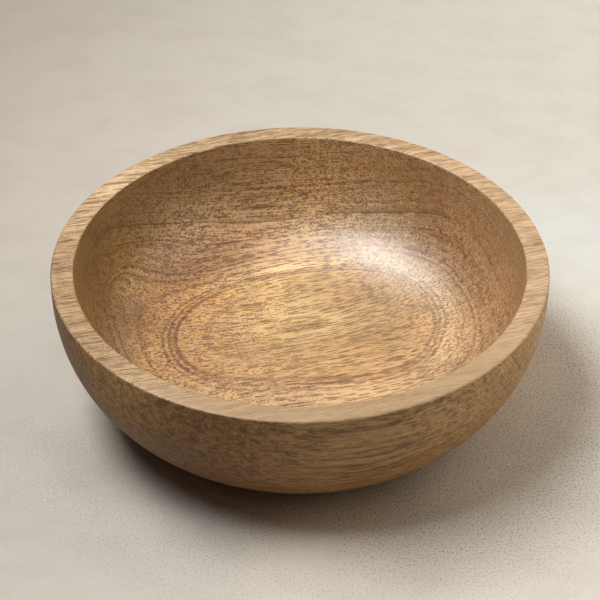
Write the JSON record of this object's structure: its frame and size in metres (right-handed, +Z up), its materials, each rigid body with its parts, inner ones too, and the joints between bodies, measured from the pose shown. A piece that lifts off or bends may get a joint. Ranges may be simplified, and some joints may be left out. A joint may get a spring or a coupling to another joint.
{
  "type": "wooden bowl",
  "caption": "Round wooden bowl turned from one block, with a flat rim, upright lip, full curved wall and recessed foot on felt pads; holds fruit, salad or bread.",
  "frame": {"origin": "on the bowl's axis, level with the undersides of the felt pads", "axes": "+Z up along the turning axis, +X along the wood's grain, +Y away from the viewer of the picture"},
  "size_m": [0.25, 0.25, 0.084],
  "materials": {
    "wood": "satin oil over open-pored tan hardwood",
    "felt": "pressed brown wool felt"
  },
  "bodies": {
    "root": {"bowl_body": "wood", "felt_pad_1": "felt", "felt_pad_2": "felt", "felt_pad_3": "felt", "felt_pad_4": "felt"}
  },
  "joints": []
}
